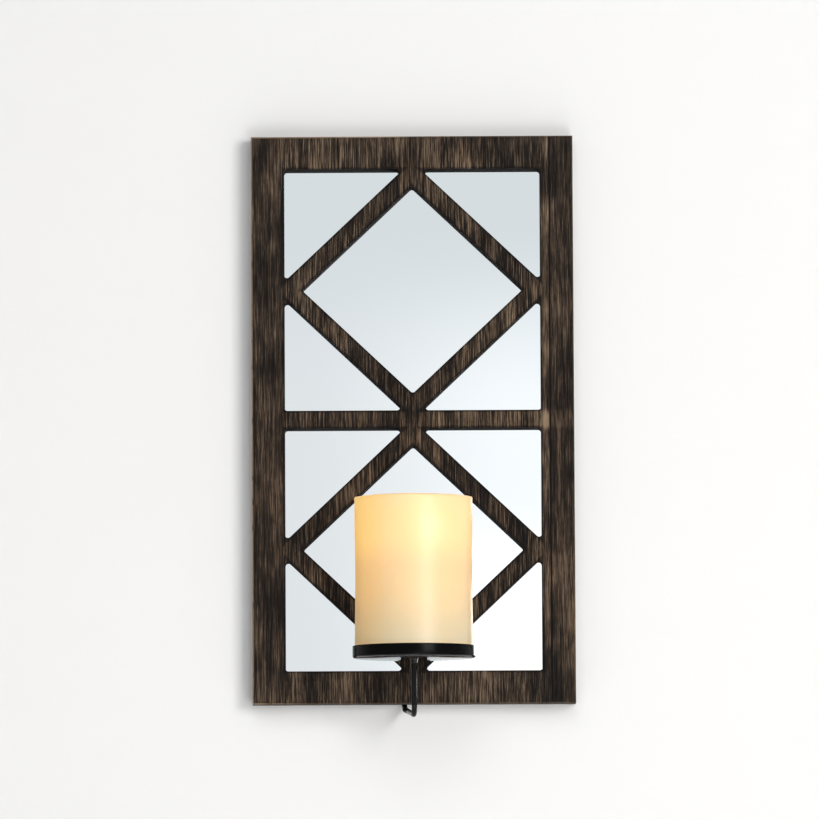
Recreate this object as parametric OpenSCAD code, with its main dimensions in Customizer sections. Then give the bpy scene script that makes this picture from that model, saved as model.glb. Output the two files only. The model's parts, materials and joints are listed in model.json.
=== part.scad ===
// Wall sconce: a routed timber lattice over a mirror, with a bent rod arm, a steel dish
// and a battery pillar candle that stands in the dish.
// Millimetres. +Z is up, the front faces -Y, the wall is towards +Y.
// The origin is midway between the two keyhole entries, on the panel's back face.

/* [Panel] */
// Width of the timber panel
panel_w = 215.9; // [180:0.1:300]
// Height of the timber panel
panel_h = 381; // [300:0.5:500]
// Thickness of the timber panel
panel_t = 18; // [15:0.5:26]
// Width of the stiles and rails round the edge
border_w = 22; // [18:0.5:34]
// Height of the rail between the two halves
mid_rail_h = 12; // [8:0.5:24]
// Width of the diagonal bars
bar_w = 12; // [9:0.5:18]
// How far the bars' centre lines stop short of the opening's edges
bar_inset = 3; // [0:0.5:5]
// Corner radius that the router bit leaves in each opening
router_r = 2; // [1:0.25:4]
// Width of the land that is left round the rebate at the back
land_w = 16.5; // [15:0.5:17.5]

/* [Mirror and backing] */
// Thickness of the mirror glass
mirror_t = 3; // [2:0.5:5]
// Thickness of the backing board
board_t = 3; // [2:0.5:5]
// Gap between either sheet and the rebate's walls
sheet_gap = 0.5; // [0.2:0.1:1.5]
// Depth of the backing board below the panel's back face
board_sink = 1; // [0.8:0.1:3]
// Length of a glazing point
point_l = 14; // [10:0.5:20]
// Width of a glazing point
point_w = 8; // [5:0.5:12]
// Thickness of a glazing point
point_t = 0.5; // [0.4:0.1:0.8]
// How far a glazing point is driven into the timber
point_bite = 6; // [4:0.5:8]

/* [Wall fixing] */
// Distance from the panel's top edge down to the keyhole entries
keyhole_drop = 42; // [36:1:90]
// Diameter of a keyhole's entry, which passes the wall screw's head
entry_d = 9; // [8:0.5:10]
// Width of a keyhole's slot, which holds the wall screw's shank
slot_w = 4.5; // [4:0.25:5]
// Distance from the entry's centre up to the slot's end
slot_rise = 9; // [7:0.5:11]
// Length of a keyhole plate
key_plate_l = 40; // [38:0.5:50]
// Width of a keyhole plate
key_plate_w = 12.7; // [11.5:0.1:13.5]
// Thickness of a keyhole plate
key_plate_t = 1.5; // [1:0.25:2]
// Distance between a keyhole plate's two screws
key_screw_pitch = 29; // [28:0.5:30]
// Depth of the pocket for the wall screw's head, from the panel's back face
head_pocket_d = 9; // [7:0.5:11]
// Diameter of a felt pad
pad_d = 10; // [6:0.5:13]
// Thickness of a felt pad
pad_t = 1.5; // [1:0.25:4]

/* [Arm] */
// Diameter of the arm's rod
rod_d = 3.6; // [3:0.1:4.4]
// Bend radius of the rod's centre line
bend_r = 6; // [6:0.5:12]
// Distance from the panel's front face to the dish's centre
arm_reach = 63; // [55:1:100]
// Distance from the panel's centre line left to the rod's rear leg
arm_offset = 6.6; // [0:0.1:15]
// How far above the panel's bottom edge the rod's rear bend starts
rear_bend_rise = 2.4; // [1:0.1:3.4]
// How far the rod's front bend hangs below the panel
hook_drop = 11.2; // [8:0.1:30]
// Length of the strap behind the bottom rail
strap_l = 40; // [36:1:60]
// Height of the strap
strap_h = 12; // [10:0.5:13]
// Thickness of the strap
strap_t = 2; // [1.5:0.25:3]
// Distance from the panel's bottom edge up to the strap
strap_edge = 2.5; // [1:0.5:3]
// Distance between the strap's two screws
strap_screw_pitch = 28; // [24:1:30]

/* [Dish] */
// Height of the dish's underside above the panel's bottom edge
dish_rise = 27.3; // [24:0.1:60]
// Height of the dish over its rim
dish_h = 8.2; // [5:0.1:20]
// Thickness of the dish's rim
dish_wall = 1; // [0.8:0.1:2]
// Thickness of the dish's floor
dish_floor = 1.2; // [0.8:0.1:2]
// Radius of the dish's rounded lower edge
dish_edge_r = 1.6; // [0.8:0.1:2.5]
// Gap between the candle's foot and the dish's rim
seat_gap = 0.45; // [0.3:0.05:3]
// Diameter of the collar under the dish
collar_d = 4.6; // [4.4:0.1:9]
// Height of the collar under the dish
collar_h = 3; // [2:0.25:6]

/* [Candle] */
// Diameter of the candle at its foot
candle_d = 78.4; // [68:0.1:100]
// Height of the candle
candle_h = 105.5; // [105:0.5:180]
// How much narrower the candle is at mid height
waist = 1.2; // [0:0.1:2]
// Thickness of the wax wall
wax_wall = 5.8; // [4:0.2:7]
// Depth of the recess in the candle's top
recess_d = 35; // [24:0.5:36]
// Thickness of the wax floor under the recess
wax_floor_t = 4; // [3:0.5:5]
// Height of the flame-shaped lens
lens_h = 18; // [14:0.5:22]
// Diameter of the LED
led_d = 5; // [3:0.5:5]

/* [Battery housing] */
// Diameter of a battery cell
cell_d = 14.5; // [14:0.1:14.6]
// Length of a battery cell, with its nub
cell_l = 50.5; // [50:0.1:50.5]
// Gap round a cell in its bay
cell_gap = 0.5; // [0.3:0.1:1]
// Gap between the housing and the wax
housing_gap = 0.3; // [0.1:0.1:1]
// Wall thickness of the plastic housing
shell_t = 2; // [1.5:0.25:2.5]
// Distance from the candle's foot up to the housing's underside
base_sink = 4; // [3.5:0.25:6]
// Distance from the cells out to the battery cover's edge
cover_margin = 2.6; // [2.4:0.1:3.4]
// Gap between the cover and the housing
cover_gap = 0.4; // [0.3:0.05:0.6]
// Turn that unlocks the battery cover, in degrees
cover_turn = 30; // [28:1:40]
// Travel of the switch's knob
switch_travel = 2.4; // [1.5:0.1:3]

/* [Hidden] */
$fn = 64;
cut = 1;          // how far a cutting solid runs past the face that it cuts
arc_steps = 8;    // straight pieces in each small rounded corner

timber = "#3a3029";
black_steel = "#141414";
zinc = "#a9adb0";
wax = "#f3dca8";

// Panel: its edges, its openings and its rebate
top_z = keyhole_drop;
bottom_z = top_z - panel_h;
mid_z = (top_z + bottom_z) / 2;
open_half_w = panel_w / 2 - border_w;
open_half_h = (panel_h - 2 * border_w - mid_rail_h) / 4;
open_centres = [for (side = [-1, 1]) mid_z + side * (mid_rail_h / 2 + open_half_h)];
rebate_d = mirror_t + board_t + board_sink;
land_x = (panel_w - land_w) / 2;

// Diagonal bars: half diagonals of the rhombus on their centre lines, then of its two edges
rhomb_w = open_half_w - bar_inset;
rhomb_h = open_half_h - bar_inset;
rhomb_side = norm([rhomb_w, rhomb_h]);
inner_w = rhomb_w - bar_w / 2 * rhomb_side / rhomb_h;
inner_h = rhomb_h - bar_w / 2 * rhomb_side / rhomb_w;
outer_w = rhomb_w + bar_w / 2 * rhomb_side / rhomb_h;
outer_h = rhomb_h + bar_w / 2 * rhomb_side / rhomb_w;

// Keyhole plates: the plate's middle sits a little above the entry
key_mid = slot_rise / 2 - 1;
key_recess_gap = 0.2;
key_screw_d = 2.5;
key_screw_head_d = 5;
key_screw_l = 12;

// Arm: the rod's rear leg lies against the strap, in a groove in the bottom rail
rod_r = rod_d / 2;
rear_y = -(strap_t + rod_r);
dish_y = -(panel_t + arm_reach);
arm_run = norm([arm_offset, dish_y - rear_y]);
arm_heading = atan2(dish_y - rear_y, arm_offset);
front_bend_rise = rod_r + bend_r - hook_drop;    // above the panel's bottom edge, so it is negative
arm_slope = atan2(rear_bend_rise - front_bend_rise, arm_run - 2 * bend_r);
run_length = (arm_run - 2 * bend_r) / cos(arm_slope);
bend_swell = 0.02;                               // how much fatter the rod is in its bends
bend_lap = 0.2;
rear_leg = strap_edge + strap_h - rear_bend_rise;
front_leg = dish_rise - collar_h - front_bend_rise;
strap_z = bottom_z + strap_edge + strap_h / 2;
groove_gap = 0.1;
wood_screw_d = 3.5;
wood_screw_head_d = 7;
wood_screw_l = 12;

// Dish and what holds it
dish_r = candle_d / 2 + seat_gap + dish_wall;
dish_z = bottom_z + dish_rise;
seat_z = dish_z + dish_floor;
inner_edge_r = dish_edge_r * 0.5;        // rounding inside the dish, between its floor and its rim
dish_screw_d = 3;
dish_screw_head_d = 5.6;
dish_screw_head_h = 1.6;
dish_hole_d = 3.3;

// Candle: heights are above the candle's foot
foot_r = candle_d / 2;
waist_r = foot_r - waist / 2;
foot_h = 6;                              // height of the straight foot
foot_edge = inner_edge_r + 0.4;          // bevel that clears the rounding inside the dish
lip_r = 1.5;                             // rounding of the rim's outer edge
cavity_r = foot_r - wax_wall;            // inside of the wax, round the housing
foot_bore_r = cavity_r + 1.5;            // wider mouth that takes the housing's flange
wax_floor_z = candle_h - recess_d;
lead_hole_r = led_d / 2 + 0.7;
lens_foot_r = 4.5;
lens_flange_r = 7;
lens_flange_t = 1;
lens_wall = 1;

// Housing: floor, deck, battery tower and board, from the foot up
floor_top = base_sink + shell_t;
flange_r = foot_bore_r - 0.2;
shell_r = cavity_r - housing_gap;
contact_t = 0.5;
contact_gap = 0.3;                       // gap between the cover's contacts and the cells
spring_l = 3.3;
deck_z = floor_top + 4.4;
low_cell_z = floor_top + contact_t + contact_gap;
high_cell_z = low_cell_z + spring_l;
roof_z = high_cell_z + cell_l + contact_t;
board_z = roof_z + shell_t;
bay_r = cell_d / 2 + cell_gap;
cell_x = bay_r - 0.15;                   // the two round bays just run into each other
tower_r = bay_r + 1.6;
post_r = 2.8;
post_y = tower_r + post_r - 0.5;
pilot_r = 1.1;
pilot_d = 8;
nub_r = 2.75;
nub_h = 1.3;

// Battery cover: a disc with two lugs that turn under the housing's floor
cell_reach = cell_x + cell_d / 2;
cover_r = cell_reach + cover_margin;
lug_in = cell_reach + 0.5;
cover_hole_r = cover_r + cover_gap;
lug_r = cover_r + 2.8;
lug_angle = 24;
lug_t = 1.7;
lug_lift = 0.3;                          // gap between a lug and the floor that it turns over
lug_root = 0.5;                          // how far a lug goes down into the cover

// Slide switch on the housing's floor, in front of the cover
switch_w = 9;
switch_depth = 4;
switch_h = 4;
switch_y = -(shell_r - shell_t - switch_depth / 2 - 1.2);
knob_w = 2.4;
knob_depth = 1.9;
knob_gap = 0.35;
knob_reach = 1.4;                        // how far the knob stands out of the housing
knob_top = 1.2;                          // how far the knob goes up into the switch
wire_r = 0.6;

circuit_w = 18;
circuit_t = 1.6;
circuit_front = switch_y - 2;
circuit_back = post_y + post_r;

// Rounded polygon: every corner of points is replaced by an arc of radius r
function unit(v) = v / norm(v);
function arc_points(centre, from, to, r) =
    let (a = atan2(from.y - centre.y, from.x - centre.x))
    let (b = atan2(to.y - centre.y, to.x - centre.x))
    let (sweep = b - a - 360 * round((b - a) / 360))
    [for (i = [0 : arc_steps]) centre + r * [cos(a + sweep * i / arc_steps), sin(a + sweep * i / arc_steps)]];
function rounded_corner(before, corner, after, r) =
    let (u = unit(before - corner), v = unit(after - corner))
    let (half = acos(u * v) / 2)
    let (centre = corner + unit(u + v) * r / sin(half))
    arc_points(centre, corner + u * r / tan(half), corner + v * r / tan(half), r);
function rounded(points, r) =
    let (n = len(points))
    [for (i = [0 : n - 1])
        each rounded_corner(points[(i + n - 1) % n], points[i], points[(i + 1) % n], r)];

// Cubic curve between two points, as a list of points
function curve(p, steps) =
    [for (i = [0 : steps])
        let (t = i / steps, s = 1 - t)
        s * s * s * p[0] + 3 * s * s * t * p[1] + 3 * s * t * t * p[2] + t * t * t * p[3]];

// A slab of an outline in the XZ plane: its back is at y_back and it is t thick
module slab(y_back, t) {
    translate([0, y_back, 0]) rotate([90, 0, 0]) linear_extrude(t) children();
}

// A straight round-ended outline of width w, from z = low to z = high
module stadium(w, low, high) {
    translate([0, low]) circle(d = w);
    translate([0, high]) circle(d = w);
    translate([-w / 2, low]) square([w, high - low]);
}

module both_sides() {
    for (side = [-1, 1]) translate([side * land_x, 0, 0]) children();
}

module at_candle() {
    translate([0, dish_y, seat_z]) children();
}

// Countersunk screw whose head is flush with y = 0 and whose shank points to -Y
module countersunk_screw(d, head_d, l) {
    head_h = (head_d - d) / 2;
    rotate([90, 0, 0]) difference() {
        union() {
            cylinder(d1 = head_d, d2 = d, h = head_h);
            cylinder(d = d, h = l);
        }
        for (turn = [0, 90]) rotate([0, 0, turn]) {
            translate([-head_d * 0.3, -0.4, -cut]) cube([head_d * 0.6, 0.8, cut + head_h * 0.6]);
        }
    }
}

// Hole for such a screw
module countersunk_hole(d, head_d, l) {
    head_h = (head_d - d) / 2;
    rotate([90, 0, 0]) {
        cylinder(d1 = head_d, d2 = d, h = head_h);
        cylinder(d = d, h = l);
    }
}

// ---- Panel ----

module opening_outlines() {
    for (zc = open_centres) translate([0, zc]) {
        polygon(rounded([[inner_w, 0], [0, inner_h], [-inner_w, 0], [0, -inner_h]], router_r));
        for (sx = [-1, 1], sz = [-1, 1]) {
            polygon(rounded([
                [sx * open_half_w, sz * outer_h * (1 - open_half_w / outer_w)],
                [sx * open_half_w, sz * open_half_h],
                [sx * outer_w * (1 - open_half_h / outer_h), sz * open_half_h]
            ], router_r));
        }
    }
}

module rebate_outline(gap) {
    w = panel_w - 2 * land_w - 2 * gap;
    h = panel_h - 2 * land_w - 2 * gap;
    translate([-w / 2, mid_z - h / 2]) square([w, h]);
}

module lattice_panel() {
    color(timber) difference() {
        slab(0, panel_t) difference() {
            translate([-panel_w / 2, bottom_z]) square([panel_w, panel_h]);
            opening_outlines();
        }
        slab(cut, rebate_d + cut) rebate_outline(0);
        place_points() point();
        both_sides() {
            slab(cut, key_plate_t + cut) {
                stadium(key_plate_w + 2 * key_recess_gap, key_mid - key_plate_l / 2 + key_plate_w / 2,
                    key_mid + key_plate_l / 2 - key_plate_w / 2);
            }
            slab(0, head_pocket_d) stadium(entry_d + 1, 0, slot_rise);
        }
        place_key_screws() rotate([90, 0, 0]) cylinder(d = key_screw_d, h = key_screw_l);
        translate([-arm_offset - strap_l / 2 - key_recess_gap, -strap_t, strap_z - strap_h / 2 - key_recess_gap]) {
            cube([strap_l + 2 * key_recess_gap, strap_t + cut, strap_h + 2 * key_recess_gap]);
        }
        rod_groove();
        place_strap_screws() rotate([90, 0, 0]) cylinder(d = wood_screw_d, h = wood_screw_l);
    }
}

// Groove for the rod's rear leg, deep enough for the start of the rear bend
module rod_groove() {
    bend_front = bend_r - sqrt(pow(bend_r - rod_r, 2) - pow(rear_bend_rise, 2));
    lean = bend_front * arm_offset / arm_run;
    depth = bend_front - rear_y + 2 * groove_gap;
    translate([-arm_offset - rod_r - groove_gap, -depth, bottom_z - cut]) {
        cube([rod_d + lean + 2 * groove_gap, depth - strap_t / 2, strap_edge + strap_h + cut]);
    }
}

// ---- Mirror, board and glazing points ----

module mirror_glass() {
    color("#dfe6ea") slab(-board_sink - board_t, mirror_t) rebate_outline(sheet_gap);
}

module backing_board() {
    color("#8a6a48") slab(-board_sink, board_t) rebate_outline(sheet_gap);
}

// One flat point: its driven end is towards +X, and the rebate's wall is at x = 0
module point() {
    over = point_l - point_bite;
    slab(-board_sink + point_t, point_t) polygon([
        [-over, -point_w / 2], [point_bite * 0.5, -point_w / 2], [point_bite, 0],
        [point_bite * 0.5, point_w / 2], [-over, point_w / 2]
    ]);
}

module place_points() {
    wall_x = panel_w / 2 - land_w;
    wall_z = panel_h / 2 - land_w;
    translate([0, 0, mid_z]) for (side = [-1, 1]) {
        for (row = [-1, 0, 1]) {
            translate([side * wall_x, 0, row * wall_z * 0.66]) rotate([0, side > 0 ? 0 : 180, 0]) children();
        }
        for (col = [-1, 1]) {
            translate([col * wall_x * 0.6, 0, side * wall_z]) rotate([0, -side * 90, 0]) children();
        }
    }
}

module glazing_points() {
    color(zinc) place_points() point();
}

// ---- Wall fixing ----

module place_key_screws() {
    both_sides() for (end = [-1, 1]) translate([0, 0, key_mid + end * key_screw_pitch / 2]) children();
}

module keyhole_plates() {
    color(zinc) difference() {
        both_sides() slab(0, key_plate_t) difference() {
            stadium(key_plate_w, key_mid - key_plate_l / 2 + key_plate_w / 2,
                key_mid + key_plate_l / 2 - key_plate_w / 2);
            circle(d = entry_d);
            stadium(slot_w, 0, slot_rise);
        }
        place_key_screws() countersunk_hole(key_screw_d, key_screw_head_d, key_screw_l);
    }
}

module keyhole_screws() {
    color(zinc) place_key_screws() countersunk_screw(key_screw_d, key_screw_head_d, key_screw_l);
}

module wall_pads() {
    color("#2b2b2b") both_sides() for (z = [bottom_z + land_w / 2, top_z - land_w / 2]) {
        translate([0, pad_t, z]) rotate([90, 0, 0]) cylinder(d = pad_d, h = pad_t);
    }
}

// ---- Arm ----

// A straight length of rod along +Z, run on a little into the bend before and after it;
// what follows it goes on from its end
module rod_straight(l, before = bend_lap, after = bend_lap) {
    translate([0, 0, -before]) cylinder(r = rod_r, h = l + before + after);
    translate([0, 0, l]) children();
}

// A bend from +Z round towards +X; what follows it goes on from its end
module rod_bend(turn) {
    translate([bend_r, 0, 0]) {
        rotate([-90, 0, 0]) rotate([0, 0, 180]) rotate_extrude(angle = turn) {
            translate([bend_r, 0]) circle(r = rod_r + bend_swell);
        }
        rotate([0, turn, 0]) translate([-bend_r, 0, 0]) children();
    }
}

// The rod, followed from its rear end down, forwards and up to the dish
module arm_rod() {
    color(black_steel) translate([-arm_offset, rear_y, strap_z + strap_h / 2]) rotate([0, 0, arm_heading]) {
        rotate([180, 0, 0]) rod_straight(rear_leg, before = 0) rod_bend(90 - arm_slope) {
            rod_straight(run_length) rod_bend(90 + arm_slope) rod_straight(front_leg, after = 0);
        }
    }
}

module place_strap_screws() {
    for (end = [-1, 1]) translate([-arm_offset + end * strap_screw_pitch / 2, 0, strap_z]) children();
}

module arm_strap() {
    color(black_steel) difference() {
        translate([-arm_offset - strap_l / 2, -strap_t, strap_z - strap_h / 2]) cube([strap_l, strap_t, strap_h]);
        place_strap_screws() countersunk_hole(wood_screw_d, wood_screw_head_d, wood_screw_l);
    }
}

module strap_screws() {
    color(zinc) place_strap_screws() countersunk_screw(wood_screw_d, wood_screw_head_d, wood_screw_l);
}

module rod_collar() {
    color(black_steel) translate([0, dish_y, dish_z - collar_h]) difference() {
        cylinder(d = collar_d, h = collar_h);
        translate([0, 0, -cut]) cylinder(d = dish_screw_d, h = collar_h + 2 * cut);
    }
}

// ---- Dish ----

module candle_dish() {
    profile = concat(
        [[dish_hole_d / 2, 0]],
        arc_points([dish_r - dish_edge_r, dish_edge_r], [dish_r - dish_edge_r, 0], [dish_r, dish_edge_r], dish_edge_r),
        [[dish_r, dish_h], [dish_r - dish_wall, dish_h]],
        arc_points([dish_r - dish_wall - inner_edge_r, dish_floor + inner_edge_r],
            [dish_r - dish_wall, dish_floor + inner_edge_r],
            [dish_r - dish_wall - inner_edge_r, dish_floor], inner_edge_r),
        [[dish_hole_d / 2, dish_floor]]
    );
    color(black_steel) translate([0, dish_y, dish_z]) rotate_extrude() polygon(profile);
}

module dish_screw() {
    color(zinc) at_candle() difference() {
        union() {
            cylinder(d = dish_screw_head_d, h = dish_screw_head_h);
            translate([0, 0, -dish_floor - collar_h]) cylinder(d = dish_screw_d, h = dish_floor + collar_h);
        }
        for (turn = [0, 90]) rotate([0, 0, turn]) {
            translate([-1.6, -0.4, dish_screw_head_h * 0.4]) cube([3.2, 0.8, dish_screw_head_h]);
        }
    }
}

// ---- Candle ----

module wax_sleeve() {
    under_floor_z = wax_floor_z - wax_floor_t;
    profile = concat(
        [[foot_bore_r, 0], [foot_r - foot_edge, 0], [foot_r, foot_edge], [foot_r, foot_h],
         [waist_r, candle_h * 0.5], [foot_r - waist / 4, candle_h - lip_r]],
        arc_points([foot_r - waist / 4 - lip_r, candle_h - lip_r], [foot_r - waist / 4, candle_h - lip_r],
            [foot_r - waist / 4 - lip_r, candle_h], lip_r),
        [[cavity_r, candle_h], [cavity_r, wax_floor_z], [lead_hole_r, wax_floor_z], [lead_hole_r, under_floor_z],
         [cavity_r, under_floor_z], [cavity_r, floor_top], [foot_bore_r, floor_top]]
    );
    color(wax) at_candle() rotate_extrude() polygon(profile);
}

// Hollow flame shape with a flange that sits on the wax floor
module flame_lens() {
    outer = curve([[lens_foot_r, lens_flange_t], [lens_foot_r + 4, lens_h * 0.4], [3.5, lens_h * 0.72], [0.6, lens_h]], 14);
    inner = curve([[0.2, lens_h - 2.5], [3.1, lens_h * 0.66], [lens_foot_r + 2.6, lens_h * 0.36], [lens_foot_r - lens_wall, 0]], 14);
    profile = concat(
        [[lens_foot_r - lens_wall, 0], [lens_flange_r, 0], [lens_flange_r, lens_flange_t]],
        outer, [[0, lens_h], [0, lens_h - 2.5]], [for (i = [0 : len(inner) - 2]) inner[i]]
    );
    color("#fff2c8") at_candle() translate([0, 0, wax_floor_z]) rotate_extrude() polygon(profile);
}

module led_bulb() {
    color("#ffd890") at_candle() translate([0, 0, wax_floor_z]) {
        cylinder(r = led_d / 2 + 0.4, h = 1);
        cylinder(d = led_d, h = 6);
        translate([0, 0, 6]) sphere(d = led_d);
        for (side = [-1, 1]) translate([side * 1.27, 0, board_z + circuit_t - wax_floor_z]) {
            cylinder(r = 0.25, h = wax_floor_z - board_z - circuit_t);
        }
    }
}

module circuit_board() {
    color("#1f6b3a") at_candle() translate([0, 0, board_z]) {
        difference() {
            translate([-circuit_w / 2, circuit_front, 0]) cube([circuit_w, circuit_back - circuit_front, circuit_t]);
            place_posts() translate([0, 0, -cut]) cylinder(r = pilot_r, h = circuit_t + 2 * cut);
        }
        translate([-6, 3, circuit_t]) cube([4, 5, 1]);
        translate([3, 4, circuit_t]) cube([3.2, 1.6, 0.6]);
        translate([3, -8, circuit_t]) cube([3.2, 1.6, 0.6]);
    }
}

module place_posts() {
    for (side = [-1, 1]) translate([0, side * post_y, 0]) children();
}

module board_screws() {
    color(zinc) at_candle() place_posts() {
        translate([0, 0, board_z + circuit_t]) cylinder(r = 1.9, h = 1);
        translate([0, 0, board_z - pilot_d]) cylinder(r = pilot_r, h = pilot_d + circuit_t);
    }
}

// Upright walls round the two cells: radius r about each cell's axis
module cell_outline(r) {
    for (side = [-1, 1]) translate([side * cell_x, 0]) circle(r = r);
    translate([-cell_x, -r]) square([2 * cell_x, 2 * r]);
}

// Part of a ring between two radii, from one angle to another
module ring_sector(r_in, r_out, from, to, h) {
    rotate([0, 0, from]) rotate_extrude(angle = to - from) translate([r_in, 0]) square([r_out - r_in, h]);
}

module base_housing() {
    color("#efe8d8") at_candle() difference() {
        union() {
            translate([0, 0, base_sink]) cylinder(r = flange_r, h = shell_t);
            difference() {
                translate([0, 0, base_sink]) cylinder(r = shell_r, h = board_z - base_sink);
                translate([0, 0, floor_top]) cylinder(r = shell_r - shell_t, h = board_z);
            }
            translate([0, 0, deck_z]) cylinder(r = shell_r - shell_t / 2, h = shell_t);
            translate([0, 0, deck_z]) linear_extrude(board_z - deck_z) cell_outline(tower_r);
            place_posts() translate([0, 0, deck_z]) cylinder(r = post_r, h = board_z - deck_z);
        }
        translate([0, 0, base_sink - cut]) cylinder(r = cover_hole_r, h = shell_t + 2 * cut);
        for (turn = [0, 180]) rotate([0, 0, turn]) translate([0, 0, base_sink - cut]) {
            ring_sector(cover_r, lug_r + cover_gap, -cover_turn - lug_angle / 2 - 2,
                -cover_turn + lug_angle / 2 + 2, shell_t + 2 * cut);
        }
        translate([0, 0, deck_z - cut]) linear_extrude(roof_z - deck_z + cut) {
            for (side = [-1, 1]) translate([side * cell_x, 0]) circle(r = bay_r);
        }
        place_posts() translate([0, 0, board_z - pilot_d]) cylinder(r = pilot_r, h = pilot_d + cut);
        translate([-(knob_w + switch_travel) / 2 - knob_gap, switch_y - knob_depth / 2 - knob_gap, base_sink - cut]) {
            cube([knob_w + switch_travel + 2 * knob_gap, knob_depth + 2 * knob_gap, shell_t + 2 * cut]);
        }
        place_wires() translate([0, 0, deck_z - cut]) cylinder(r = wire_r + 0.4, h = shell_t + 2 * cut);
    }
}

module battery_cells() {
    color("#3c4c5c") at_candle() {
        translate([-cell_x, 0, low_cell_z]) {
            cylinder(r = nub_r, h = nub_h);
            translate([0, 0, nub_h]) cylinder(d = cell_d, h = cell_l - nub_h);
        }
        translate([cell_x, 0, high_cell_z]) {
            cylinder(d = cell_d, h = cell_l - nub_h);
            translate([0, 0, cell_l - nub_h]) cylinder(r = nub_r, h = nub_h);
        }
    }
}

// Conical wire spring of three turns, standing on z = 0
module wire_spring(h) {
    wire = 0.35;
    turns = 3;
    sides = 8;
    rings = turns * 16;
    span = h - 2 * wire;
    points = [for (i = [0 : rings])
        let (a = 360 * turns * i / rings, r = 4.4 - 1.6 * i / rings, z = wire + span * i / rings)
        for (k = [0 : sides - 1])
            let (b = 360 * k / sides, out = r + wire * cos(b))
            [out * cos(a), out * sin(a), z + wire * sin(b)]];
    side_faces = [for (i = [0 : rings - 1], k = [0 : sides - 1])
        let (a = i * sides + k, b = i * sides + (k + 1) % sides)
        [a, b, b + sides, a + sides]];
    first_cap = [for (k = [sides - 1 : -1 : 0]) k];
    last_cap = [for (k = [0 : sides - 1]) rings * sides + k];
    polyhedron(points, concat(side_faces, [first_cap, last_cap]));
}

module top_spring() {
    color(zinc) at_candle() translate([-cell_x, 0, roof_z - contact_t]) mirror([0, 0, 1]) wire_spring(spring_l);
}

module contact_tabs() {
    color(zinc) at_candle() for (side = [-1, 1]) {
        translate([side * cell_x, 0, roof_z - contact_t]) cylinder(r = 5.2, h = contact_t);
    }
}

module place_wires() {
    for (side = [-1, 1]) translate([side * 1.8, switch_y, 0]) children();
}

module lead_wires() {
    color("firebrick") at_candle() place_wires() {
        translate([0, 0, floor_top + switch_h]) cylinder(r = wire_r, h = board_z - floor_top - switch_h);
    }
}

module switch_body() {
    color("#c8c8c8") at_candle() difference() {
        translate([-switch_w / 2, switch_y - switch_depth / 2, floor_top]) cube([switch_w, switch_depth, switch_h]);
        translate([-(knob_w + switch_travel) / 2 - knob_gap, switch_y - knob_depth / 2 - knob_gap, floor_top - cut]) {
            cube([knob_w + switch_travel + 2 * knob_gap, knob_depth + 2 * knob_gap, cut + knob_top + knob_gap]);
        }
    }
}

module switch_slider() {
    color("#1c1c1c") at_candle() {
        translate([-knob_w / 2 - switch_travel / 2, switch_y - knob_depth / 2, base_sink - knob_reach]) {
            cube([knob_w, knob_depth, knob_reach + shell_t + knob_top]);
        }
    }
}

module battery_cover() {
    bar_l = 2 * cover_r - 9;
    color("#efe8d8") at_candle() {
        translate([0, 0, base_sink]) cylinder(r = cover_r, h = shell_t);
        translate([-bar_l / 2, -2, base_sink - 1.4]) cube([bar_l, 4, 1.4]);
        for (turn = [0, 180]) rotate([0, 0, turn - lug_angle / 2]) translate([0, 0, floor_top]) {
            rotate_extrude(angle = lug_angle) polygon([
                [lug_in, -lug_root], [cover_r - 0.5, -lug_root], [cover_r - 0.5, lug_lift],
                [lug_r, lug_lift], [lug_r, lug_lift + lug_t], [lug_in, lug_lift + lug_t]
            ]);
        }
    }
}

module bridge_contact() {
    color(zinc) at_candle() translate([0, 0, floor_top]) linear_extrude(contact_t) {
        for (side = [-1, 1]) translate([side * cell_x, 0]) circle(r = 5.2);
        translate([-cell_x, -3]) square([2 * cell_x, 6]);
    }
}

module cover_spring() {
    color(zinc) at_candle() translate([cell_x, 0, floor_top + contact_t]) wire_spring(spring_l);
}

lattice_panel();
mirror_glass();
backing_board();
glazing_points();
keyhole_plates();
keyhole_screws();
wall_pads();
arm_rod();
arm_strap();
strap_screws();
rod_collar();
candle_dish();
dish_screw();
wax_sleeve();
flame_lens();
led_bulb();
circuit_board();
board_screws();
base_housing();
battery_cells();
top_spring();
contact_tabs();
lead_wires();
switch_body();
switch_slider();
battery_cover();
bridge_contact();
cover_spring();
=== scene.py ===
import json
import math

import bmesh
import bpy
from mathutils import Matrix, Vector, noise

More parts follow.
